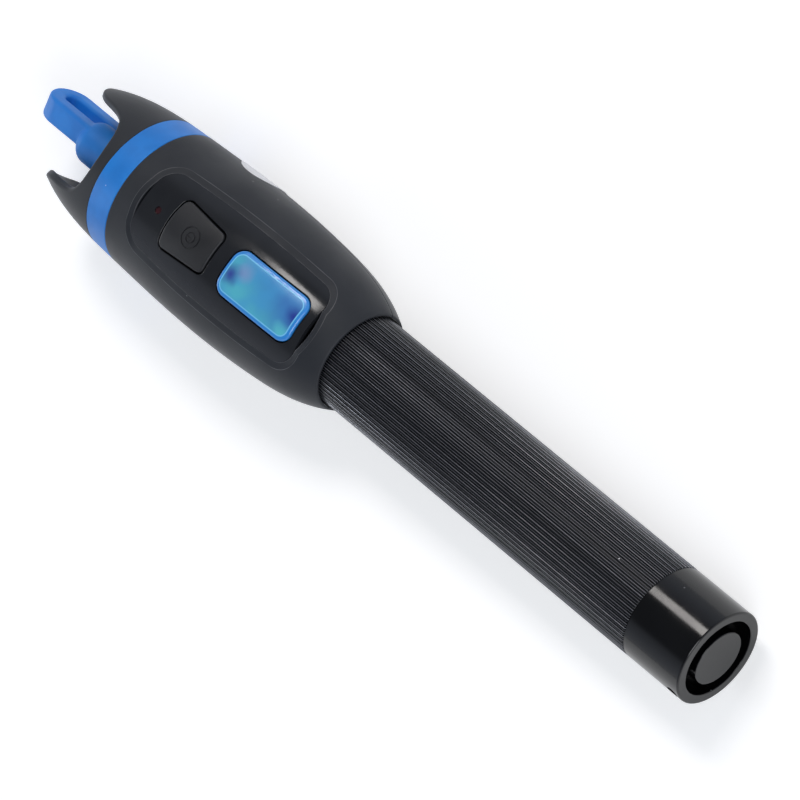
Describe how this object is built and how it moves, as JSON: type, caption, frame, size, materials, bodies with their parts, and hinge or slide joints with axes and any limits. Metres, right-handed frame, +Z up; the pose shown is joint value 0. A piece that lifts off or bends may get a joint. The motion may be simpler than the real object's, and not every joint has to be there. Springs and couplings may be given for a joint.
{
  "type": "visual fault locator",
  "caption": "Pen-shaped red-light source for checking optical fibre, with ribbed grip, power button, crowned fibre port, pull-off dust cap and screw-off tail cap.",
  "frame": {"origin": "centre of the flat tail face", "axes": "+X along the pen from tail to nose, +Z up through the power button, as the pen lies on its side"},
  "size_m": [0.1828, 0.0302, 0.0294],
  "materials": {
    "black_anodised": "gloss",
    "black_rubber": "matte",
    "contact_brass": "satin",
    "spring_steel": "satin",
    "cell_jacket": "satin",
    "carrier_plastic": "matte",
    "shell_plastic": "matte",
    "screw_steel": "satin",
    "panel_plastic": "satin",
    "badge_blue": "gloss",
    "button_rubber": "matte",
    "red_lens": "gloss",
    "led_body": "gloss",
    "board_green": "satin",
    "switch_body": "satin",
    "plunger_red": "satin",
    "housing_brass": "satin",
    "diode_gold": "gloss",
    "clear_glass": "gloss",
    "port_nickel": "satin",
    "white_ceramic": "gloss",
    "ring_blue": "gloss",
    "crown_black": "matte",
    "cap_blue": "satin",
    "label_white": "matte"
  },
  "bodies": {
    "housing": {"barrel": "black_anodised", "battery_rear": "cell_jacket", "battery_front": "cell_jacket", "front_contact": "contact_brass", "contact_carrier": "carrier_plastic", "upper_shell": "shell_plastic", "lower_shell": "shell_plastic", "shell_screws": "screw_steel", "control_panel": "panel_plastic", "badge": "badge_blue", "indicator_lens": "red_lens", "indicator_led": "led_body", "circuit_board": "board_green", "tactile_switch": "switch_body", "laser_housing": "housing_brass", "laser_diode": "diode_gold", "focusing_lens": "clear_glass", "lens_retainer": "housing_brass", "ferrule_port": "port_nickel", "alignment_sleeve": "white_ceramic", "port_nut": "port_nickel", "accent_ring": "ring_blue", "nose_crown": "crown_black", "side_label": "label_white"},
    "tail_contact": {"tail_contact": "contact_brass", "tail_spring": "spring_steel"},
    "tail_cap": {"tail_cap": "black_anodised", "tail_o_ring": "black_rubber"},
    "button": {"power_button": "button_rubber", "switch_plunger": "plunger_red"},
    "dust_cap": {"dust_cap": "cap_blue"}
  },
  "joints": [
    {"name": "button_press", "type": "slide", "parent": "housing", "child": "button", "axis": [0, 0, -1], "range_m": [0, 0.0005], "stiffness_N_per_m": 1500},
    {"name": "tail_cap_travel", "type": "slide", "parent": "housing", "child": "tail_contact", "axis": [-1, 0, 0], "range_m": [0, 0.0075]},
    {"name": "tail_cap_turn", "type": "hinge", "parent": "tail_contact", "child": "tail_cap", "pos_m": [0, 0, 0], "axis": [-1, 0, 0], "range_deg": [0, 2705]},
    {"name": "dust_cap_pull", "type": "slide", "parent": "housing", "child": "dust_cap", "axis": [1, 0, 0], "range_m": [0, 0.06]}
  ],
  "couplings": [
    {"joint": "tail_cap_turn", "follows": "tail_cap_travel", "rad_per_m": 6283.2}
  ]
}
